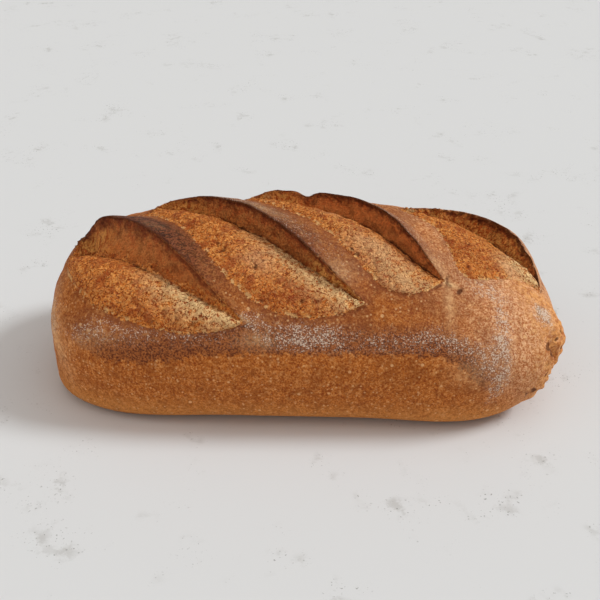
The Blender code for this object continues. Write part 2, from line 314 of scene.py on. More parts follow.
SLASHES = (
    Slash((-150, 4), (-28, -76), Bow(21, 0.35, 1.25), Bow(23, 0.35, 0.9), Bow(-38, 0.8, 0.8),
          Bow(10.5, 0.35, 0.9), 4.0, puff=3.5, under=2.5, torn=(1.1, 0.3, 0.7), tone=1.0,
          dusting=0.06, pale_reach=11.0, pale_share=(0.4, 0.8), glow=0.4, climb=8.0),
    Slash((-100, 30), (33, -65), Bow(21.5, 0.56, 1.5), Bow(6, 1.6, 1.0), Bow(-33, 2.2, 0.86),
          Bow(9.0, 0.8, 0.8), 4.5, torn=(1.3, 0.3, 1.2), tone=0.55, dusting=0.18, pale_reach=10.0,
          glow=0.15),
    Slash((-38, 40), (77, -49), Bow(22, 1.6, 1.9), Bow(3, 1.2, 1.0), Bow(-26, 3.5, 0.71),
          Bow(9.0, 1.0, 0.8), 4.5, under=2.0, strip=16.0, torn=(1.3, 0.3, 0.2), tone=0.34,
          dusting=0.22, pale_reach=12.0, pale_gap=16.0, pale_share=(0.4, 0.9), pale=0.6, glow=0.9),
    Slash((54, 33), (150, -29), Bow(40, 0.98, 0.78), Bow(2, 1.0, 1.0), Bow(-43, 4.8, 2.7),
          Bow(7.5, 0.7, 0.5), 4.5, under=2.0, strip=26.0, torn=(1.6, 1.0, 0.3), tone=0.30,
          dusting=0.15, pale_reach=24.0, pale_gap=10.0, pale_share=(0.6, 0.82), glow=1.35,
          climb=3.0, burnt=3.6),
)


@dataclass(frozen=True)
class Spot:
    """A place on the chart with a soft edge: a swell, a pit or a dusting of flour."""

    at: Pair
    reach: Pair
    height: float
    turn: float = 0.0

    def over(self, u: Array, v: Array) -> Array:
        """Its height at chart points."""
        turn = radians(self.turn)
        du, dv = u - self.at[0], v - self.at[1]
        along = (du * cos(turn) + dv * sin(turn)) / self.reach[0]
        across = (dv * cos(turn) - du * sin(turn)) / self.reach[1]
        return self.height * np.exp(-(along ** 2 + across ** 2))


def spots(*rows: tuple) -> tuple[Spot, ...]:
    """Spots from rows of centre, reach, height and turn in degrees."""
    return tuple(Spot(*row) for row in rows)


def total(group: tuple[Spot, ...], u: Array, v: Array) -> Array:
    """Heights of several spots added together at chart points."""
    return sum(spot.over(u, v) for spot in group)


def at_tip(u: Array, v: Array, slant: float, along: Pair, middle: float, across: Pair) -> Array:
    """How far chart points lie in the burst right end, past a slanting line and about one height."""
    return ramp(u + slant * v, *along) * (1 - ramp(np.abs(v - middle), *across))


# Swells and pits of the form, in millimetres.
SPOTS = spots(
    ((-139, -2), (10, 6), -4.0, 60),
    ((-136, 18), (10, 8), -3.5),
    ((-118, 12), (8, 6), 1.8),
    ((-160, 3), (6, 5), -6.0),
    ((-162, -24), (8, 14), -1.5),
    ((-16, 34), (13, 7), 4.0, -15),
    ((3, 30), (4, 7), -3.0),
    ((52, 56), (17, 9), -3.0),
    ((87, -55), (3, 2), -1.5, 30),
    ((165, 24), (9, 8), -3.0),
    ((152, -52), (13, 24), 3.0),
    ((157, -67), (9, 3.5), -9.0, -25),
    ((162, -89), (7, 6), 2.5),
)

# Flour on the skin.
FLOUR = spots(
    ((-122, -74), (30, 7), 0.30, -14),
    ((-60, -83), (40, 6), 0.24),
    ((-27, -75), (9, 4), 0.75, -10),
    ((2, -83), (20, 6), 0.5),
    ((40, -85), (30, 6), 0.24),
    ((80, -84), (18, 6), 0.34, -12),
    ((102, -90), (12, 7), 0.36, -40),
    ((117, -97), (6, 12), 0.62, -8),
    ((113, -72), (6, 14), 0.66, -8),
    ((108, -50), (14, 9), 0.40),
    ((114, -80), (5, 8), 0.35),
    ((143, -50), (6, 4), 1.7, 50),
    ((-158, -50), (8, 24), 0.60),
    ((-84, 30), (9, 5), 0.5, -30),
    ((-40, 24), (14, 6), 0.6, -30),
)

# Painted shade: deep places that hardly see the light, darkened in the crust's colour.
SHADED = spots(
    ((-134, 8), (13, 5), 1.0, 40),
    ((-139, -2), (7, 5), 0.5, 60),
    ((-30, -77), (5, 1.2), 0.8, -15),
    ((27, -34), (1.6, 6), 1.1, 20),
    ((70, -43), (14, 2.2), 0.7, -38),
    ((149, -67), (7, 2.2), 1.5, -15),
    ((150, -88), (3, 1.6), 1.2, 20),
    ((147, -94), (3, 1.4), 1.0, -20),
)

# Thin lips and hazy patches of the skin that are paler than the rest.
BLEACHED = spots(
    ((81, -51), (5, 1.5), 0.9, -25),
    ((79, -62), (3.0, 13), 0.5, 4),
    ((-31, -74), (6, 1.2), 0.9, -15),
    ((-22, -85), (9, 4), 0.35),
    ((20, -46), (8, 7), 0.35, -35),
    ((-20, 5), (13, 5), 0.30, -40),
    ((72, -38), (5, 9), 0.35, 35),
    ((-158, -54), (10, 26), 0.7),
    ((-128, -76), (26, 5), 0.2, -14),
    ((94, -98), (12, 6), 0.3),
    ((-82, -8), (9, 5), 0.10, -35),
)

# Patches of the beds that are paler than the rest.
FADED = spots(
    ((36, -28), (17, 7), 0.6, -45),
    ((52, -53), (11, 5), 0.55, -35),
    ((-23, -41), (11, 7), 0.5, -40),
    ((15, 10), (10, 6), 0.3, -40),
    ((130, -25), (11, 5), 0.9, -40),
)

# Patches of crumb and skin that browned more.
RUDDY = spots(
    ((97, -17), (17, 12), 0.5, -30),
    ((-6, -62), (14, 8), 0.6),
    ((50, -37), (10, 5), 0.6, -38),
    ((58, -68), (16, 8), 0.5),
    ((128, -45), (12, 8), 0.35),
)

# Places as dark as the ears' rims: the cap at the first ear's far end is burnt, while the cave at that cut's
# far end and the crevice at the last cut's near end are painted shade.
SCORCHED_AND_SHADED = spots(
    ((152, -18), (3, 8), 0.8),
    ((-139, 11), (6, 5), 0.8, 40),
    ((-119, 8), (9, 4), 0.45, -30),
)


class Layer(Enum):
    """Attributes of the mesh that tell the material where each kind of crust lies."""

    OPEN = "opened"
    WALL = "wall"
    RIM = "rim"
    ALONG = "along"
    TORN = "torn"
    FLOUR = "flour"
    STRIP = "strip"
    BAND = "band"
    CREASE = "crease"
    SHARE = "share"
    PALE = "pale"
    FAIR = "fair"
    # where painted shade falls: hollows and deep places
    HOLLOW = "hollow"
    BURST = "burst"
    DUSK = "dusk"
    LIGHT = "light"
    FADED = "faded"
    GLOW = "glow"
    CLIMB = "climb"
    RUDDY = "ruddy"
    UNDER = "underside"


@dataclass
class LoafNet:
    """The net of chart points that the mesh is made of: slanted with the slashes, dense on the crown.

    Along, front and back are zones from the crest outwards: how far each reaches, and its spacing.
    """

    body: LoafBody
    along: tuple = ((150.0, 1.15), (205.0, 2.2), (245.0, 1.5), (266.0, 4.0))
    front: tuple = ((88.0, 0.9), (124.0, 1.5), (146.0, 1.3), (190.0, 5.0))
    back: tuple = ((56.0, 1.1), (124.0, 2.2), (146.0, 2.0), (190.0, 6.0))
    rim_angle: float = radians(174.0)
    rim_search: Pair = (0.5, 1.6)
    slant: float = 1.42
    slant_across: float = 60.0
    slant_along: Pair = (66.0, 266.0)

    @staticmethod
    def steps(zones: tuple) -> Array:
        """Chart distances from the crest to the rim, evenly spaced in each zone."""
        steps, start = [0.0], 0.0
        for end, spacing in zones:
            count = max(1, round((end - start) / spacing))
            steps += [start + (end - start) * (i + 1) / count for i in range(count)]
            start = end
        return np.array(steps)

    def rim_scale(self, u: Array, v: Array) -> Array:
        """Factor that takes a chart direction out to the rim, under the loaf."""
        low, high = (np.full(u.shape, bound) for bound in self.rim_search)
        for _ in range(SEARCH_STEPS):
            middle = (low + high) / 2
            along = u * middle - self.body.spine(u * middle)
            short = np.hypot(along, v * middle) < self.body.chart_radius * self.rim_angle
            low, high = np.where(short, middle, low), np.where(short, high, middle)
        return low

    def slanted(self, u: Array, v: Array) -> Array:
        """Shift a net along the loaf so that its columns run with the slashes."""
        across = self.slant_across * np.tanh(v / self.slant_across)
        return u - self.slant * across * (1 - ramp(np.abs(u), *self.slant_along))

    @staticmethod
    def snapped(u: Array, v: Array, level: Callable[[Array, Array], Array]) -> tuple[Array, Array]:
        """Move the nearest column of each row onto the line where level(u, v) is zero."""
        value = level(u, v)
        first, second = value[:-1], value[1:]
        crossing = (first * second < 0) & (np.abs(first - second) > TINY)
        share = np.where(crossing, first / np.where(crossing, first - second, 1), 0)
        near_first, near_second = crossing & (share < 0.5), crossing & (share >= 0.5)
        moved = u.copy(), v.copy()
        for new, step in zip(moved, (np.diff(u, axis=0), np.diff(v, axis=0))):
            new[:-1] += np.where(near_first, share * step, 0)
            new[1:] -= np.where(near_second, (1 - share) * step, 0)
        return moved

    def grid(self) -> tuple[Array, Array]:
        """Chart coordinates of the net, an oval that ends at the rim under the loaf."""
        side = self.steps(self.along)
        front, back = self.steps(self.front), self.steps(self.back)
        columns = np.concatenate([-side[:0:-1], side]) / side[-1]
        rows = np.concatenate([-front[:0:-1] / front[-1], back / back[-1]])
        p, q = np.meshgrid(columns, rows, indexing="ij")
        x, y = p * np.sqrt(1 - q * q / 2), q * np.sqrt(1 - p * p / 2)
        radius = np.hypot(x, y)
        safe = np.maximum(radius, TINY)
        factor = self.rim_scale(x / safe * side[-1], y / safe * front[-1])
        factor = 1 + (factor - 1) * radius ** 3
        u, v = x * side[-1] * factor, y * front[-1] * factor
        u = self.slanted(u, v)
        for slash in SLASHES:
            for edge in range(3):
                u, v = self.snapped(u, v, slash.level(edge))
        return u, v

    @staticmethod
    def faces(columns: int, rows: int) -> list[tuple[int, ...]]:
        """Quads of the net, and the quads that close the slit left under the loaf."""
        def at(i: int, j: int) -> int:
            """Number of a corner of the net."""
            return i * rows + j
        quads = [(at(i, j), at(i + 1, j), at(i + 1, j + 1), at(i, j + 1))
                 for i in range(columns - 1) for j in range(rows - 1)]
        last = rows - 1
        quads += [(at(i + 1, 0), at(i, 0), at(i, last), at(i + 1, last)) for i in range(columns - 1)]
        for i, turn in ((0, 1), (columns - 1, -1)):
            for j in range(last // 2):
                ring = (at(i, j), at(i, j + 1), at(i, last - j - 1), at(i, last - j))
                quads.append(tuple(dict.fromkeys(ring[::turn])))
        return [quad for quad in quads if len(quad) > 2]


@dataclass
class SpeltLoaf:
    """The baked loaf: the body, opened by its slashes and roughened as its crumb and crust are.

    Waves and lumps are noises, each given by its height, width and seed.
    """

    body: LoafBody = field(default_factory=LoafBody)
    strip_fall: float = 1.6
    strip_belly: float = 0.6
    strip_fade: Pair = (6.0, 26.0)
    wall_curve: float = 1.15
    bed_curve: float = 0.8
    bed_step: float = 0.25
    step_run: float = 0.06
    rim_behind: float = 1.8
    foot_fade: float = 22.0
    waves: tuple = ((0.9, 34.0, 1), (0.45, 13.0, 2))
    skin_lumps: tuple = ((0.16, 4.0, 5), (0.10, 2.0, 6))
    crumb_lump: float = 0.55
    crumb_lumps: tuple = ((1.0, 6.0, 7), (0.7, 3.0, 8), (0.6, 1.7, 9))
    crumb_heap: float = 1.6
    torn_at: tuple = (0.02, 0.3, 0.72, 0.92)
    tear_size: float = 4.5
    tear_height: float = 1.3
    tear_shift: float = 1.2
    burst_form: tuple = (0.25, (118, 142), -72, (16, 40))
    burst_look: tuple = (0.35, (100, 135), -66, (22, 60))
    burst_rough: float = 1.6
    burst_folds: float = 5.0

    def cut(self, slash: Slash, u: Array, v: Array) -> dict[str, Array]:
        """What one slash does to chart points.

        Returns:
            The chart shift, the height, and how far the points lie in its bed, wall, rim and strip.
        """
        along, off, past, side = slash.place(u, v)
        lift = slash.lift.at(along)
        strength = lift / slash.lift.height
        ear, crease, bed = slash.lines(along)
        true_ear = slash.ear.at(along)
        wall_run = slash.wall.at(along)
        behind = np.clip((off - ear) / slash.strip, 0, 1)
        up_wall = np.clip((off - crease) / (ear - crease), 0, 1)
        over_bed = np.clip((off - bed) / (crease - bed), 0, 1)
        hollow = slash.under * strength * 4 * up_wall * (1 - up_wall)
        wall_off = true_ear - wall_run * (1 - up_wall) + hollow
        strip_off = off - slash.lip_run * strength * (1 - behind) ** 2
        bed_off = off + (true_ear - wall_run - crease) * over_bed ** 2
        on_strip, on_wall = off >= ear, (off < ear) & (off >= crease)
        move = np.where(on_strip, strip_off, np.where(on_wall, wall_off, bed_off)) - off

        low = -slash.depth * strength
        strip_height = lift * (1 - behind) ** self.strip_fall * (1 + self.strip_belly * behind)
        wall_height = low + (lift - low) * up_wall ** self.wall_curve
        swell = np.sin(np.pi * over_bed) ** self.bed_curve * slash.puff * strength
        step = self.bed_step * strength * ramp(over_bed, 0.0, self.step_run)
        bed_height = np.where(over_bed > 0, low * over_bed ** 3 + swell - step, 0)
        height = np.where(on_strip, strip_height, np.where(on_wall, wall_height, bed_height))
        from_wall = np.maximum(crease - off, 0) - slash.pale_gap
        pale = np.exp(-(from_wall / slash.pale_reach) ** 2) * slash.pale
        middle = slash.torn[1]
        return {
            "move_u": move * side[0],
            "move_v": move * side[1],
            "height": height,
            "opened": np.minimum(off - bed, ear - off) - past,
            "wall": np.where(on_wall, up_wall, 0) * (past <= 0),
            "crease": np.where(off < ear, off - crease, 0),
            "strength": strength * (past <= 0),
            "from_ear": off - ear,
            "share": along,
            "along": along * slash.length,
            "pale": pale * ramp(along, *slash.pale_share),
            "glow": slash.glow + 0 * along,
            "climb": slash.climb + 0 * along,
            "torn": np.interp(along, self.torn_at, (slash.torn[0], middle, middle, slash.torn[2])),
        }

    def edges(self, cuts: list[dict[str, Array]]) -> tuple[Array, Array, Array]:
        """How far points lie on a burnt rim, on old dark skin behind an ear, and in the flour there."""
        rims, strips, dustings = [], [], []
        for cut, slash in zip(cuts, SLASHES):
            off = cut["from_ear"]
            reach = np.where(off < 0, slash.burnt, self.rim_behind)
            behind = (1 - ramp(off, *self.strip_fade)) * (off > 0) * cut["strength"]
            rims.append(np.exp(-(off / reach) ** 2) * cut["strength"])
            strips.append(behind * slash.tone)
            dustings.append(behind * slash.dusting)
        return np.max(rims, axis=0), np.max(strips, axis=0), np.max(dustings, axis=0)

    def dress(self, u: Array, v: Array) -> tuple[Array, dict[Layer, Array]]:
        """Finished skin at chart coordinates.

        Returns:
            The points, and the value of each layer at them.
        """
        plain, _ = self.body.skin(u, v)
        cuts = [self.cut(slash, u, v) for slash in SLASHES]
        opened = np.max([c["opened"] for c in cuts], axis=0)
        owner = np.argmax([c["opened"] for c in cuts], axis=0)
        own = {name: np.choose(owner, [c[name] for c in cuts])
               for name in ("wall", "crease", "share", "along", "pale", "glow", "climb", "torn")}
        inside = ramp(opened, -0.3, 1.2)
        wall, pale = own["wall"] * inside, own["pale"]
        on_wall = np.sin(np.pi * np.clip(wall, 0, 1)) ** 0.5
        tear = on_wall * own["torn"]

        above = ramp(plain[..., 2], 0.0, self.foot_fade)
        height = sum(c["height"] for c in cuts) + total(SPOTS, u, v)
        height = height + above * rough(plain, self.waves) + rough(plain, self.skin_lumps)
        lump = self.crumb_lump * (1 + 0.9 * pale) * (1 - on_wall)
        height = height + lump * inside * rough(plain, self.crumb_lumps)
        height = height + self.crumb_heap * pale * inside * (wall <= 0)
        ragged = rough(plain, ((1.0, self.tear_size, 4), (0.6, self.tear_size / 2, 10)))
        folds = np.abs(noise(plain, 11.0, 14)) - 0.3 + 0.35 * (np.abs(noise(plain, 4.5, 15)) - 0.3)
        height = height + self.tear_height * tear * ragged
        burst = at_tip(u, v, *self.burst_form)
        height = height + burst * (self.burst_rough * ragged + self.burst_folds * folds)
        shift = [sum(c[name] for c in cuts) + self.tear_shift * tear * noise(plain, self.tear_size, seed)
                 for name, seed in (("move_u", 11), ("move_v", 12))]

        point, normal = self.body.skin(u + shift[0], v + shift[1])
        point = point + normal * (height * above)[..., None]
        point[..., 2] = np.maximum(point[..., 2], 0)
        rim, strip, dusting = self.edges(cuts)
        low = self.band_foot(u)
        layers = {
            Layer.OPEN: opened,
            Layer.WALL: wall,
            # burnt rims, plus spots that are partly painted shade
            Layer.RIM: rim + total(SCORCHED_AND_SHADED, u, v),
            Layer.ALONG: own["along"] * inside,
            Layer.SHARE: own["share"] * inside,
            Layer.TORN: np.clip(own["torn"], 0, 1.6) * inside,
            Layer.FLOUR: (self.flour(u, v, plain, low) + dusting) * (1 - inside),
            Layer.STRIP: strip * (1 - inside),
            Layer.BAND: v - low,
            Layer.CREASE: np.clip(own["crease"], -30, 30) * inside,
            Layer.PALE: pale * inside * (1 - ramp(wall, 0.0, 0.12)),
            # painted shade: how far each point lies below its neighbours, plus the deep places, for the
            # material to darken
            Layer.HOLLOW: self.hollows(point) + total(SHADED, u, v),
            Layer.FAIR: ramp(u + 0.3 * (v + 60), 50, 135) * ramp(v, -122, -78),
            Layer.BURST: at_tip(u, v, *self.burst_look),
            # painted light: each cut's glow, brightening its wall in colour
            Layer.GLOW: own["glow"] * inside,
            Layer.CLIMB: own["climb"] * inside,
            Layer.RUDDY: total(RUDDY, u, v),
            Layer.DUSK: 0.8 * ramp(u, -155, -100) * (1 - ramp(u, 92, 126)),
            Layer.LIGHT: total(BLEACHED, u, v),
            Layer.FADED: total(FADED, u, v),
            Layer.UNDER: 1 - ramp(plain[..., 2], 0.4, 7.0),
        }
        return point, layers

    @staticmethod
    def band_foot(u: Array) -> Array:
        """Chart height across the loaf where the floury band ends and the pan side begins."""
        foot = -91 - 6 * np.exp(-((u + 80) / 30) ** 2)
        return foot + 36 * ramp(-u, 110, 165) - 14 * ramp(u, 70, 115)

    @staticmethod
    def flour(u: Array, v: Array, plain: Array, foot: Array) -> Array:
        """How thickly flour lies on the skin, from 0 to 1."""
        dust = total(FLOUR, u, v)
        end = ramp(u, 92, 110)
        dust = dust * (ramp(v - foot, -1.5, 2.0) * (1 - end) + end)
        back = 0.5 * np.exp(-((v - 82) / 11) ** 2) * (1 - ramp(np.abs(u), 110, 150))
        return np.clip((dust + back) * (1 + 0.5 * noise(plain, 15.0, 13)), 0, 1)

    @staticmethod
    def hollows(point: Array) -> Array:
        """How far each point of the net lies below its neighbours, in millimetres."""
        wide = 2
        near = sum(np.roll(point, shift, axis) for axis in (0, 1) for shift in (wide, -wide)) / 4
        along, across = (np.roll(point, -1, axis) - np.roll(point, 1, axis) for axis in (0, 1))
        normal = np.cross(along, across)
        normal = normal / np.maximum(np.linalg.norm(normal, axis=-1, keepdims=True), TINY)
        depth = ((near - point) * normal).sum(-1)
        for axis in (0, 1):
            edge = [slice(None), slice(None)]
            for side in (slice(0, wide), slice(-wide, None)):
                edge[axis] = side
                depth[tuple(edge)] = 0
        return np.clip(depth, -2, 2)

    def build(self) -> tuple[bpy.types.Object, Vector]:
        """Make the loaf's mesh where the solid is.

        Returns:
            The loaf, and where the form's own origin lies in the frame, in metres.
        """
        net = LoafNet(self.body)
        u, v = net.grid()
        point, layers = self.dress(u, v)
        points = point.reshape(-1, 3)
        low, high = (Vector(corner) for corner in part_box("loaf"))
        middle = Vector((points.min(axis=0) + points.max(axis=0)) / 2 * MM)
        origin = (low + high) / 2 - middle
        origin.z = low.z
        mesh = bpy.data.meshes.new("crust_and_crumb")
        mesh.from_pydata((points * MM + np.array(origin)).tolist(), [], net.faces(*u.shape))
        for layer, values in layers.items():
            attribute = mesh.attributes.new(layer.value, "FLOAT", "POINT")
            attribute.data.foreach_set("value", values.ravel().astype(np.float32))
        mesh.shade_smooth()
        mesh.update()
        return placed("crust_and_crumb", mesh), origin


class Grain(Enum):
    """Noise patterns in the crust: width of a feature in mm, detail, roughness and twist."""

    FINE = (0.95, 2.0, 0.6, 0.3)
    COARSE = (3.2, 2.0, 0.55, 0.0)
    BLOTCH = (9.0, 3.0, 0.55, 0.0)
    BROAD = (30.0, 2.0, 0.5, 0.0)
    WORM = (1.5, 2.0, 0.6, 1.1)
    CLUMP = (4.5, 2.0, 0.5, 0.0)
    SPECK = (0.75, 1.0, 0.6, 0.0)
    PATCH = (3.6, 3.0, 0.6, 0.0)
    EDGE = (2.2, 3.0, 0.65, 0.0)


class Kind(Enum):
    """Shader nodes in use: Blender type, fixed settings, inputs in the order given, output read."""

    WHERE = ("ShaderNodeTexCoord", {}, (), "Object")
    LAYER = ("ShaderNodeAttribute", {}, (), "Fac")
    SCALE = ("ShaderNodeVectorMath", {"operation": "SCALE"}, (0, "Scale"), 0)
    HEIGHT = ("ShaderNodeSeparateXYZ", {}, (0,), 2)
    POINT = ("ShaderNodeCombineXYZ", {}, (0, 1, 2), 0)
    NOISE = ("ShaderNodeTexNoise", {}, ("Vector", "Scale", "Detail", "Roughness", "Distortion"), "Fac")
    CELLS = ("ShaderNodeTexVoronoi", {}, ("Vector", "Scale"), "Distance")
    CHANCE = ("ShaderNodeSeparateColor", {}, (0,), 0)
    RAMP = ("ShaderNodeMapRange", {"interpolation_type": "SMOOTHSTEP"}, (0, 1, 2, 3, 4), 0)
    PLUS = ("ShaderNodeMath", {"operation": "ADD"}, (0, 1), 0)
    LESS = ("ShaderNodeMath", {"operation": "SUBTRACT"}, (0, 1), 0)
    TIMES = ("ShaderNodeMath", {"operation": "MULTIPLY"}, (0, 1), 0)
    MOST = ("ShaderNodeMath", {"operation": "MAXIMUM"}, (0, 1), 0)
    SIZE = ("ShaderNodeMath", {"operation": "ABSOLUTE"}, (0,), 0)
    MIX = ("ShaderNodeMix", {"data_type": "RGBA"}, (0, 6, 7), 2)
    BUMP = ("ShaderNodeBump", {}, ("Height", "Strength", "Distance", "Normal"), 0)


@dataclass(frozen=True)
class Recipe:
    """A material, whose node tree is filled one node at a time."""

    material: bpy.types.Material

    @classmethod
    def started(cls, name: str) -> "Recipe":
        """Start a material with its shader."""
        material = bpy.data.materials.new(name)
        material.use_nodes = True
        return cls(material)

    def fill(self, node: bpy.types.Node, values: Iterable[tuple[object, object]]) -> None:
        """Link sockets to inputs of a node, and set the inputs given as numbers, vectors or hex colours."""
        for key, value in values:
            if isinstance(value, Socket):
                self.material.node_tree.links.new(value, node.inputs[key])
            else:
                node.inputs[key].default_value = linear(value) if isinstance(value, str) else value

    def add(self, kind: Kind, *values: object, **settings: object) -> Socket:
        """Add a node with its links and settings.

        Args:
            kind: which shader node.
            values: inputs in the kind's order, each a socket to link, a number, a vector or a hex colour.
            settings: properties of the node beyond the kind's own.

        Returns:
            The output that the kind reads.
        """
        blender_type, fixed, inputs, output = kind.value
        node = self.material.node_tree.nodes.new(blender_type)
        for name, value in {**fixed, **settings}.items():
            setattr(node, name, value)
        self.fill(node, zip(inputs, values))
        return node.outputs[output]

    def millimetres(self) -> Socket:
        """The place on the object, in millimetres."""
        return self.add(Kind.SCALE, self.add(Kind.WHERE), 1 / MM)

    def coats(self, colour: Socket | str, *coats: tuple) -> Socket:
        """Lay coats over a colour, one after another.

        Args:
            colour: the colour below them all.
            coats: each the coat's colour, then what it covers by, multiplied together: sockets, or a
                source with where a soft ramp starts and ends and, unless 0 and 1, its values there.

        Returns:
            The coated colour.
        """
        for coat, *shares in coats:
            covers = [share if isinstance(share, Socket) else self.add(Kind.RAMP, *share) for share in shares]
            cover = reduce(partial(self.add, Kind.TIMES), covers)
            colour = self.add(Kind.MIX, cover, colour, coat)
        return colour

    def finished(self, surface: dict[str, Socket | float]) -> bpy.types.Material:
        """Set the shader's inputs, and return the material."""
        self.fill(self.material.node_tree.nodes["Principled BSDF"], surface.items())
        return self.material


@dataclass(frozen=True)
class Sources:
    """What the crust's colours depend on: the place in mm, the mesh's layers and the grains."""

    mm: Socket
    at: dict[Layer, Socket]
    grain: dict[Grain, Socket]


@dataclass(frozen=True)
class BakedCrust:
    """Wheat and spelt crust, baked on stone: starch browned by heat, dusted with flour, torn where it opened.

    Roughness is given bare and floured, bumps as strength and distance in metres, and blisters as
    spacing in mm, reach, rarity and strength.
    """

    roughness: Pair = (0.7, 0.9)
    specular: float = 0.12
    grit_bump: Pair = (0.6, 0.0009)
    crumb_bump: Pair = (1.0, 0.0024)
    blisters: tuple = ((2.1, 0.36, 0.50, 0.60), (5.2, 0.22, 0.62, 0.8))
    pore_spacing: float = 7.0
    strand: float = 2.4
    skin_dark: str = "#98481a"
    skin_mid: str = "#c4722f"
    skin_light: str = "#e4a060"
    skin_burnt: str = "#8a4417"
    # paler foot: partly paler crust, partly painted light thrown up from the floor
    skin_foot: str = "#e29c54"
    skin_dusk: str = "#7e4226"
    blister: str = "#f2bd84"
    fair_dark: str = "#c07444"
    fair_light: str = "#f6c294"
    band_dark: str = "#4e251a"
    band_light: str = "#a45c30"
    strip_dark: str = "#30150c"
    strip_light: str = "#7e442a"
    bed_dark: str = "#943a12"
    bed_mid: str = "#e07e32"
    bed_light: str = "#fbaa5a"
    # painted highlight: glints on the crumb; also the colour of the pale lip at the opening's edge
    bed_glint: str = "#ffcb88"
    bed_brown: str = "#a84e1e"
    bed_red: str = "#a0401a"
    pale_dark: str = "#c06630"
    pale_light: str = "#ffd294"
    wall_low: str = "#e8863c"
    wall_high: str = "#c96733"
    wall_shade: str = "#6e3010"
    # painted light on the walls, which lie in shade
    wall_glow: str = "#f8904c"
    wall_top: str = "#74321a"
    # painted shade at the wall's foot in the crease
    wall_root_shade: str = "#702a0c"
    wall_gold: str = "#d89050"
    torn_dark: str = "#b4561c"
    torn_light: str = "#ffb660"
    rim: str = "#4c1e0e"
    burst_dark: str = "#ba6c34"
    burst_light: str = "#efa862"
    pit: str = "#4a1c08"
    lip: str = "#f6c48c"
    faded: str = "#f8bc86"
    flour: str = "#ead2bc"
    under_flour: str = "#603324"
    underside: tuple[str, str] = ("#84502c", "#b0733e")

    def make(self) -> bpy.types.Material:
        """Build the material."""
        recipe = Recipe.started("baked_spelt_crust")
        add, mm = recipe.add, recipe.millimetres()
        at = {layer: add(Kind.LAYER, attribute_name=layer.value) for layer in Layer}
        grain = {g: add(Kind.NOISE, mm, 1 / g.value[0], *g.value[1:]) for g in Grain}
        sources = Sources(mm, at, grain)

        edge = add(Kind.PLUS, at[Layer.OPEN], add(Kind.RAMP, grain[Grain.EDGE], 0.25, 0.75, -1.0, 1.0))
        in_open = add(Kind.RAMP, edge, -0.25, 0.35)
        colour = recipe.coats(self.skin(recipe, sources), (self.opened(recipe, sources), in_open))
        colour = self.browned_and_shaded(recipe, sources, colour)
        colour, dust = self.dusted(recipe, sources, colour, in_open)
        return recipe.finished({
            "Base Color": colour,
            "Normal": self.relief(recipe, sources, in_open),
            "Roughness": add(Kind.RAMP, dust, 0, 0.8, *self.roughness),
            "Specular IOR Level": self.specular,
        })

    def skin(self, recipe: Recipe, sources: Sources) -> Socket:
        """Skin that stretched as the loaf rose: granular, mottled, with pale blisters about 1.5 mm across."""
        add, coats, mm, at, grain = recipe.add, recipe.coats, sources.mm, sources.at, sources.grain
        fine, coarse, blotch, grit = (grain[g] for g in (Grain.FINE, Grain.COARSE, Grain.BLOTCH, Grain.EDGE))
        band, dusk = at[Layer.BAND], at[Layer.DUSK]
        colour = coats(
            self.skin_dark,
            (self.skin_mid, (fine, 0.36, 0.52)),
            (self.skin_light, (fine, 0.54, 0.68, 0, 0.7)),
            (self.skin_burnt, (coarse, 0.42, 0.64, 0, 0.34)),
            (self.skin_burnt, (blotch, 0.47, 0.64, 0, 0.38)),
            # paler towards the foot: partly paler crust, partly painted light thrown up from the floor
            (self.skin_foot, (add(Kind.HEIGHT, mm), 26.0, 4.0, 0, 0.55)),
            (self.skin_dusk, (band, 2.0, 14.0), (grain[Grain.BROAD], 0.58, 0.42, 0.05, 0.5)),
            (self.skin_burnt, (grit, 0.46, 0.34, 0, 0.45)),
            (self.skin_light, (grit, 0.52, 0.68, 0, 0.45)),
            (self.skin_dusk, at[Layer.RUDDY], (blotch, 0.3, 0.6, 0.8, 0.3)),
            (self.skin_dusk, (at[Layer.OPEN], -9.0, -0.8, 0, 0.75), dusk, (grit, 0.35, 0.6, 1, 0.45)),
            (coats(self.fair_dark, (self.fair_light, (fine, 0.36, 0.64))),
             at[Layer.FAIR], (coarse, 0.3, 0.65, 0.95, 0.45)),
        )
        for spacing, reach, rarity, strength in self.blisters:
            cells = add(Kind.CELLS, mm, 1 / spacing)
            chance = add(Kind.CHANCE, cells.node.outputs["Color"])
            colour = coats(colour, (self.blister, (cells, reach / 2, reach, 1, 0),
                                    (chance, rarity, 1, 0, strength)))
        ragged = add(Kind.PLUS, band, add(Kind.RAMP, coarse, 0.3, 0.7, -1.5, 1.5))
        mixed = add(Kind.PLUS, fine, add(Kind.TIMES, coarse, 0.6))
        return coats(
            colour,
            (coats(self.band_dark, (self.band_light, (fine, 0.38, 0.62))),
             (ragged, -1.2, 1.2), (band, 7.0, 19.0, 1, 0), dusk),
            (coats(self.strip_dark, (self.strip_light, (mixed, 0.72, 0.90))),
             (at[Layer.STRIP], 0, 0.9, 0, 0.95)),
            (coats(self.burst_dark, (self.burst_light, (grit, 0.38, 0.58))),
             at[Layer.BURST], (coarse, 0.3, 0.6, 0.4, 0.9)),
            (self.lip, at[Layer.LIGHT], (grit, 0.35, 0.6, 0.3, 1)),
        )

    def opened(self, recipe: Recipe, sources: Sources) -> Socket:
        """Where the loaf opened: the bed's crumb, which climbs the wall's foot in heaps, and the wall."""
        add, at, grain = recipe.add, sources.at, sources.grain
        heaps = add(Kind.PLUS, grain[Grain.PATCH], add(Kind.TIMES, grain[Grain.CLUMP], 0.8))
        climb = add(Kind.TIMES, at[Layer.CLIMB], add(Kind.RAMP, heaps, 0.74, 1.06))
        foot = add(Kind.LESS, at[Layer.CREASE], climb)
        wall = self.wall(recipe, sources, heaps)
        return recipe.coats(self.bed(recipe, sources), (wall, (foot, -1.2, 1.2)))

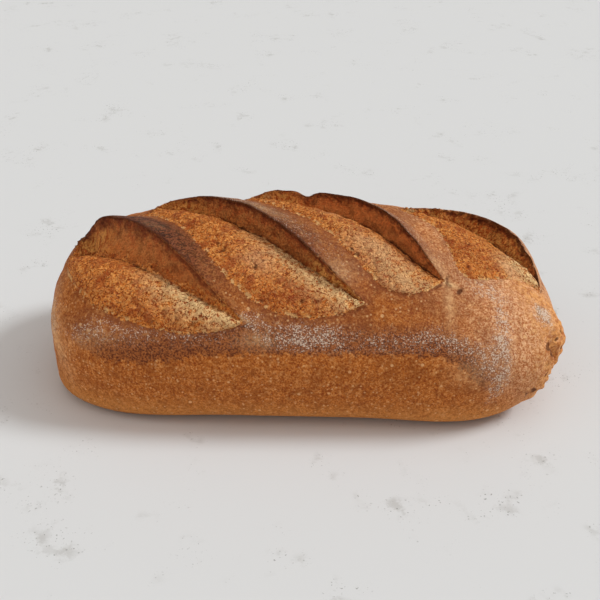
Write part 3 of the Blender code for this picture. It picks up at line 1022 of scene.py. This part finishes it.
    def bed(self, recipe: Recipe, sources: Sources) -> Socket:
        """Opened bed: crumb that dried to a worm-like grain about 1.5 mm wide, with few dark pores; the
        grain's dark and light are partly its colour, partly painted shade and highlight of its relief.
        """
        add, coats, mm, at, grain = recipe.add, recipe.coats, sources.mm, sources.at, sources.grain
        worm, clump, coarse = grain[Grain.WORM], grain[Grain.CLUMP], grain[Grain.COARSE]
        cells = add(Kind.CELLS, mm, 1 / self.pore_spacing)
        chance = add(Kind.CHANCE, cells.node.outputs["Color"])
        patchy = add(Kind.PLUS, clump, add(Kind.TIMES, worm, 0.8))
        return coats(
            self.bed_dark,
            (self.bed_mid, (worm, 0.34, 0.50)),
            (self.bed_light, (worm, 0.50, 0.64, 0, 0.9)),
            # painted highlight: fine glints on the crumb
            (self.bed_glint, (grain[Grain.FINE], 0.52, 0.68, 0, 0.35)),
            (self.bed_brown, (clump, 0.46, 0.68, 0, 0.45)),
            (self.bed_red, (grain[Grain.BLOTCH], 0.50, 0.66, 0, 0.5)),
            (self.pit, (cells, 0.06, 0.14, 1, 0), (chance, 0.62, 0.7, 0, 0.8)),
            (self.bed_red, at[Layer.RUDDY], (coarse, 0.3, 0.6, 0.9, 0.4)),
            (coats(self.pale_dark, (self.pale_light, (worm, 0.36, 0.50))),
             at[Layer.PALE], (patchy, 0.72, 0.94, 0.1, 1)),
            (self.faded, at[Layer.FADED], (worm, 0.34, 0.56, 0.4, 1)),
            (self.bed_glint, (at[Layer.OPEN], 0.9, 2.8, 0.7, 0), (coarse, 0.50, 0.58)),
        )

    def wall(self, recipe: Recipe, sources: Sources, heaps: Socket) -> Socket:
        """Cut wall under the ear: smooth, streaked along the cut, torn to orange crumb at foot and ends."""
        add, coats, at, grain = recipe.add, recipe.coats, sources.at, sources.grain
        wall, along, share, fine = at[Layer.WALL], at[Layer.ALONG], at[Layer.SHARE], grain[Grain.FINE]
        sweep = add(Kind.POINT, add(Kind.TIMES, along, 0.12), add(Kind.TIMES, wall, 2.2))
        drift = add(Kind.NOISE, sweep, 1, 3.0, 0.6, 0.4)
        high = add(Kind.PLUS, wall, add(Kind.RAMP, grain[Grain.COARSE], 0.3, 0.7, -0.12, 0.12))
        strands = add(Kind.POINT, along, add(Kind.TIMES, wall, 5.0))
        strands = add(Kind.NOISE, strands, 1 / self.strand, 3.0, 0.65, 0.9)
        strands = add(Kind.PLUS, strands, add(Kind.TIMES, grain[Grain.WORM], 0.6))
        return coats(
            self.wall_low,
            (self.wall_high, (wall, 0.05, 0.6)),
            (self.wall_gold, (heaps, 0.76, 1.00, 0, 0.75)),
            (self.wall_shade, (drift, 0.34, 0.54, 0.6, 0)),
            (self.wall_glow, (drift, 0.56, 0.70, 0, 0.4)),
            (self.wall_shade, (fine, 0.36, 0.56, 0.6, 0)),
            (self.wall_gold, (fine, 0.54, 0.68, 0, 0.5)),
            # painted shade: darker towards the near end, where the cut closes to a dark slit
            (self.wall_shade, (share, 0.35, 0.85, 0, 0.45)),
            (self.wall_top, (high, 0.55, 1, 0, 0.85)),
            # painted shade: darker at the wall's foot in the crease, from the middle of the cut to its near
            # end
            (self.wall_root_shade, (wall, 0.02, 0.30, 0.85, 0), (share, 0.25, 0.6)),
            # painted light: walls lying in shade brightened in colour, most at their lower part, by each
            # cut's glow
            (self.wall_glow, at[Layer.GLOW], (high, 0.45, 0.9, 0.8, 0.1), (drift, 0.36, 0.60, 0.45, 1)),
            (coats(self.torn_dark, (self.torn_light, (strands, 0.66, 0.92))),
             (at[Layer.TORN], 0.2, 0.9), (high, 0.45, 0.8, 0.9, 0)),
        )

    def browned_and_shaded(self, recipe: Recipe, sources: Sources, colour: Socket) -> Socket:
        """Scorched rims with a few spots of painted shade, painted shade in hollows and deep places, and the
        base's own brown, laid over a colour.
        """
        add, at, coarse = recipe.add, sources.at, sources.grain[Grain.COARSE]
        rim = add(Kind.RAMP, sources.grain[Grain.EDGE], 0.3, 0.7, -0.25, 0.25)
        rim = add(Kind.PLUS, at[Layer.RIM], rim)
        deep = add(Kind.PLUS, at[Layer.HOLLOW], add(Kind.RAMP, coarse, 0.35, 0.65, -0.25, 0.25))
        return recipe.coats(
            colour,
            (self.rim, (rim, 0.25, 0.85, 0, 0.8)),
            # painted shade: the pit colour darkens hollows and deep places, away from the opening's edges
            (self.pit, (deep, 0.15, 0.8, 0, 0.8), (add(Kind.SIZE, at[Layer.OPEN]), 0.8, 2.5),
             (at[Layer.PALE], 0.1, 0.6, 1, 0.35), (at[Layer.WALL], 0.02, 0.2, 1, 0.25)),
            (add(Kind.MIX, coarse, *self.underside), at[Layer.UNDER]),
        )

    def dusted(self, recipe: Recipe, sources: Sources, colour: Socket,
               in_open: Socket) -> tuple[Socket, Socket]:
        """Flour over a colour, its grains far under a millimetre but drawn at 0.75 mm so that they show.

        Returns:
            The dusted colour, and how thickly flour covers it.
        """
        add, grain = recipe.add, sources.grain
        thick = add(Kind.RAMP, grain[Grain.PATCH], 0.30, 0.68, 0.25, 1.35)
        thick = add(Kind.TIMES, sources.at[Layer.FLOUR], thick)
        thick = add(Kind.TIMES, thick, add(Kind.LESS, 1, add(Kind.TIMES, in_open, 0.9)))
        specks = add(Kind.PLUS, grain[Grain.SPECK], add(Kind.TIMES, thick, 0.17))
        specks = add(Kind.RAMP, specks, 0.60, 0.70, 0, 0.75)
        grains = add(Kind.TIMES, specks, add(Kind.RAMP, thick, 0, 0.35))
        dust = add(Kind.MOST, grains, add(Kind.TIMES, thick, 0.14))
        colour = recipe.coats(colour, (self.under_flour, (thick, 0.1, 0.9, 0, 0.4)), (self.flour, dust))
        return colour, dust

    def relief(self, recipe: Recipe, sources: Sources, in_open: Socket) -> Socket:
        """Bump too fine for the mesh: grit everywhere, and lumps of crumb where the loaf opened."""
        add, grain = recipe.add, sources.grain
        lumps = add(Kind.LESS, add(Kind.PLUS, grain[Grain.WORM], grain[Grain.CLUMP]), 1)
        grit = add(Kind.BUMP, grain[Grain.FINE], *self.grit_bump)
        return add(Kind.BUMP, add(Kind.TIMES, lumps, in_open), *self.crumb_bump, grit)


@dataclass(frozen=True)
class PaleFloor:
    """Fine plaster table top, trowelled and matt: near white, with small grey pits and scuffs."""

    colour: str = "#dedcdb"
    scuff: str = "#c9c6c3"
    pit: str = "#96918d"
    side: float = 6.0
    roughness: float = 0.85
    grain_roughness: float = 0.65
    grains: tuple = ((45.0, 3.0), (11.0, 4.0), (1.6, 1.0))

    def make(self) -> bpy.types.Material:
        """Build the plaster's material: scuffs and pits in patches, each from a noise of its own width."""
        recipe = Recipe.started("trowelled_plaster")
        mm = recipe.millimetres()
        patches, scuffs, pits = (recipe.add(Kind.NOISE, mm, 1 / width, detail, self.grain_roughness)
                                 for width, detail in self.grains)
        patches = recipe.add(Kind.RAMP, patches, 0.52, 0.68)
        colour = recipe.coats(
            self.colour,
            (self.scuff, (scuffs, 0.50, 0.66), patches, patches),
            (self.pit, (pits, 0.66, 0.72), patches),
        )
        return recipe.finished({"Base Color": colour, "Roughness": self.roughness})

    def build(self) -> bpy.types.Object:
        """Make the floor at the loaf's foot."""
        half = self.side / 2
        corners = [(-half, -half, 0), (half, -half, 0), (half, half, 0), (-half, half, 0)]
        mesh = bpy.data.meshes.new("floor")
        mesh.from_pydata(corners, [], [(0, 1, 2, 3)])
        mesh.materials.append(self.make())
        return placed("floor", mesh)


@dataclass
class Studio:
    """The photograph's camera, a soft key light from the right and a little behind, and fainter wide ones."""

    elevation: float = 34.0
    turn: float = 1.7
    distance: float = 0.5
    clip_start: float = 0.01
    lens: float = 52.9
    sensor: float = 36.0
    aim: Triple = (0.0, 0.0, 45.0)
    slide: Pair = (-1.9, -3.6)
    key_strength: float = 1.93
    key_colour: Triple = (0.88, 0.96, 1.0)
    key_elevation: float = 42.0
    key_behind: float = 10.0
    key_spread: float = 16.0
    top_strength: float = 0.6
    top_toward: Triple = (0.3, 0.0, 0.9)
    top_spread: float = 60.0
    fill_strength: float = 0.58
    fill_colour: Triple = (1.0, 0.93, 0.86)
    fill_toward: Triple = (-0.75, -0.55, 0.45)
    fill_spread: float = 80.0
    sky: Triple = (1.0, 0.93, 0.87)
    sky_strength: float = 0.35

    def camera(self, origin: Vector) -> None:
        """Place the camera.

        Args:
            origin: where the loaf's form has its own origin, in metres.
        """
        tilt, turn = radians(self.elevation), radians(self.turn)
        back = Vector((sin(turn) * cos(tilt), -cos(turn) * cos(tilt), sin(tilt)))
        right = Vector((cos(turn), sin(turn), 0))
        up = back.cross(right)
        aim = origin + (Vector(self.aim) + right * self.slide[0] + up * self.slide[1]) * MM
        data = bpy.data.cameras.new("camera")
        data.lens = self.lens
        data.sensor_width = self.sensor
        data.clip_start = self.clip_start
        camera = placed("camera", data)
        axes = Matrix((right, up, back)).transposed().to_4x4()
        camera.matrix_world = Matrix.Translation(aim + back * self.distance) @ axes
        bpy.context.scene.camera = camera

    def lights(self) -> None:
        """Hang the key, top and fill lights and set the sky."""
        tilt, turn = radians(self.key_elevation), radians(self.key_behind)
        toward = Vector((cos(turn) * cos(tilt), sin(turn) * cos(tilt), sin(tilt)))
        for name, strength, colour, spread, source in (
            ("key", self.key_strength, self.key_colour, self.key_spread, toward),
            ("top", self.top_strength, self.key_colour, self.top_spread, Vector(self.top_toward)),
            ("fill", self.fill_strength, self.fill_colour, self.fill_spread, Vector(self.fill_toward)),
        ):
            data = bpy.data.lights.new(name, "SUN")
            data.energy = strength
            data.angle = radians(spread)
            data.color = colour
            placed(name, data).rotation_euler = (-source).to_track_quat("-Z", "Y").to_euler()
        world = bpy.data.worlds.new("studio")
        world.use_nodes = True
        background = world.node_tree.nodes["Background"]
        background.inputs["Color"].default_value = (*self.sky, 1)
        background.inputs["Strength"].default_value = self.sky_strength
        bpy.context.scene.world = world


def main() -> None:
    """Build the loaf, its floor, its light and the camera."""
    logging.basicConfig(level=logging.INFO, format="%(name)s: %(message)s")
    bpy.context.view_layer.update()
    loaf, origin = SpeltLoaf().build()
    loaf.data.materials.append(BakedCrust().make())
    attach(loaf, "root")
    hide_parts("loaf")
    LOG.info("loaf: %d points, %d faces", len(loaf.data.vertices), len(loaf.data.polygons))
    plaster = PaleFloor()
    floor = plaster.build()
    LOG.info("floor: %.0f m square", plaster.side)
    studio = Studio()
    studio.lights()
    studio.camera(origin)
    bpy.context.scene.view_settings.view_transform = "Standard"
    LOG.info("studio: key light at %.0f degrees, camera %.2f m away", studio.key_elevation, studio.distance)


if __name__ == "__main__":
    main()
